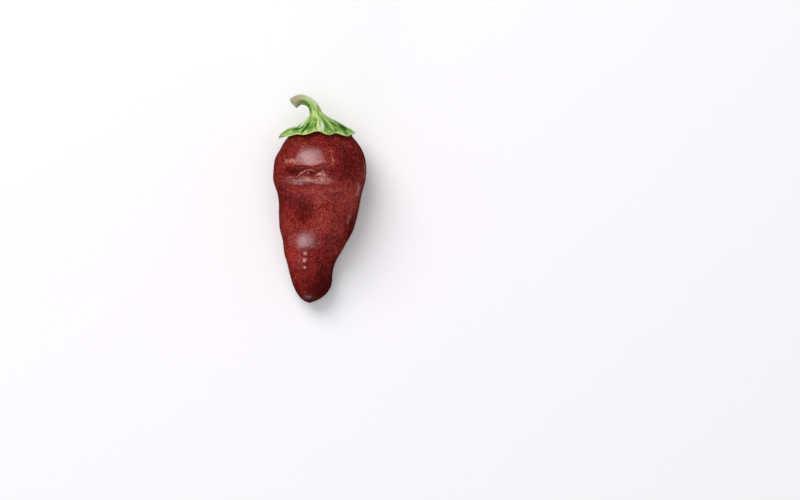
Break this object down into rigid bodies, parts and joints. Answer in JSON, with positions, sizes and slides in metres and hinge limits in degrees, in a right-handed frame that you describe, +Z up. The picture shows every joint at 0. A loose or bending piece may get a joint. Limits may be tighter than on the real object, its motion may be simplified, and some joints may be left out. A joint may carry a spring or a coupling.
{
  "type": "sweet chocolate pepper",
  "caption": "Tapered sweet pepper pod with shallow lobes, a fold under its shoulder and a bent blunt tip, capped by a toothed flaring calyx with a hooked cut stem; lies on its side.",
  "frame": {"origin": "on the surface that the pepper lies on, under the middle of its bounding box seen from above", "axes": "+Y from the tip to the stem, +X to the right of someone looking down on it with the stem away from them, +Z up from the surface"},
  "size_m": [0.0562, 0.1252, 0.052],
  "materials": {
    "pod_skin": "satin",
    "calyx_green": "matte"
  },
  "bodies": {
    "root": {"pod": "pod_skin", "calyx_and_stem": "calyx_green"}
  },
  "joints": []
}
